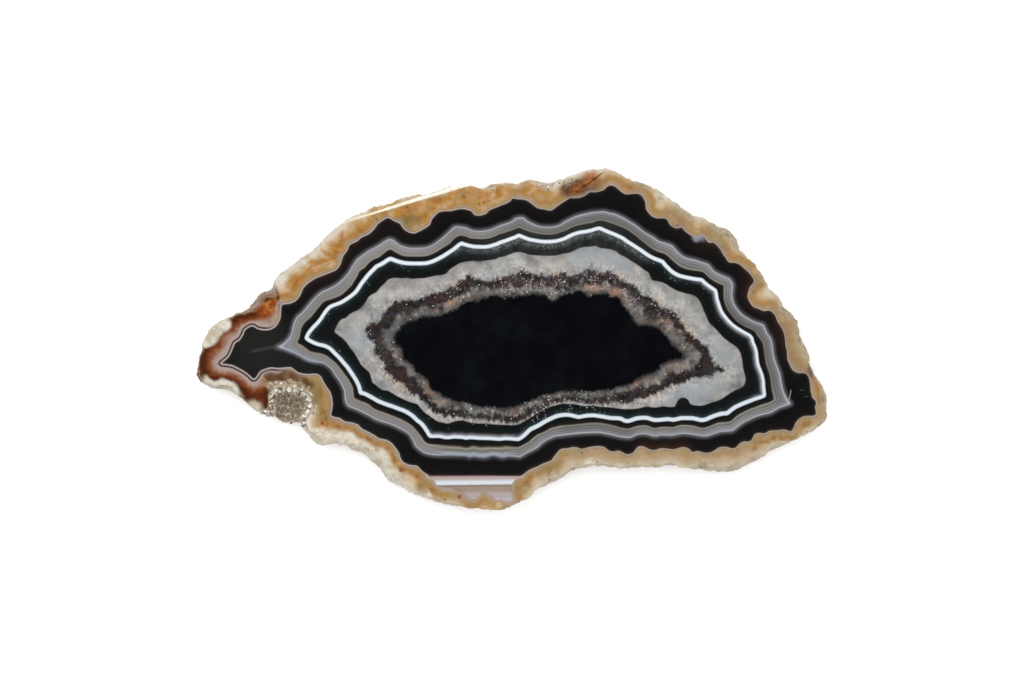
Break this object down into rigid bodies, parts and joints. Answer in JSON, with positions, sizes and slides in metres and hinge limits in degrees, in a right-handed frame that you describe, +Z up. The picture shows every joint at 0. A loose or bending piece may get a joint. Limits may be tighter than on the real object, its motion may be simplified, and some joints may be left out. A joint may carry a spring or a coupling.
{
  "type": "agate slice",
  "caption": "Flat polished slice of banded agate with a rough rim, black, white and grey bands round a black quartz heart, and a small open pocket of quartz crystals in its rim.",
  "frame": {"origin": "centre of the slice's bounding box, at the level of its flat back", "axes": "+X along the slice's longest extent, towards its rounded right tip; +Z up, out of the polished face; +Y towards the top of the face as pictured"},
  "size_m": [0.1, 0.0542, 0.006],
  "materials": {
    "banded_agate": "polished faces with colour bands, rough brown skin on the rim",
    "quartz_crust": "small glassy quartz points, grey beige"
  },
  "bodies": {
    "root": {"agate_slice": "banded_agate", "pocket_crystals": "quartz_crust"}
  },
  "joints": []
}
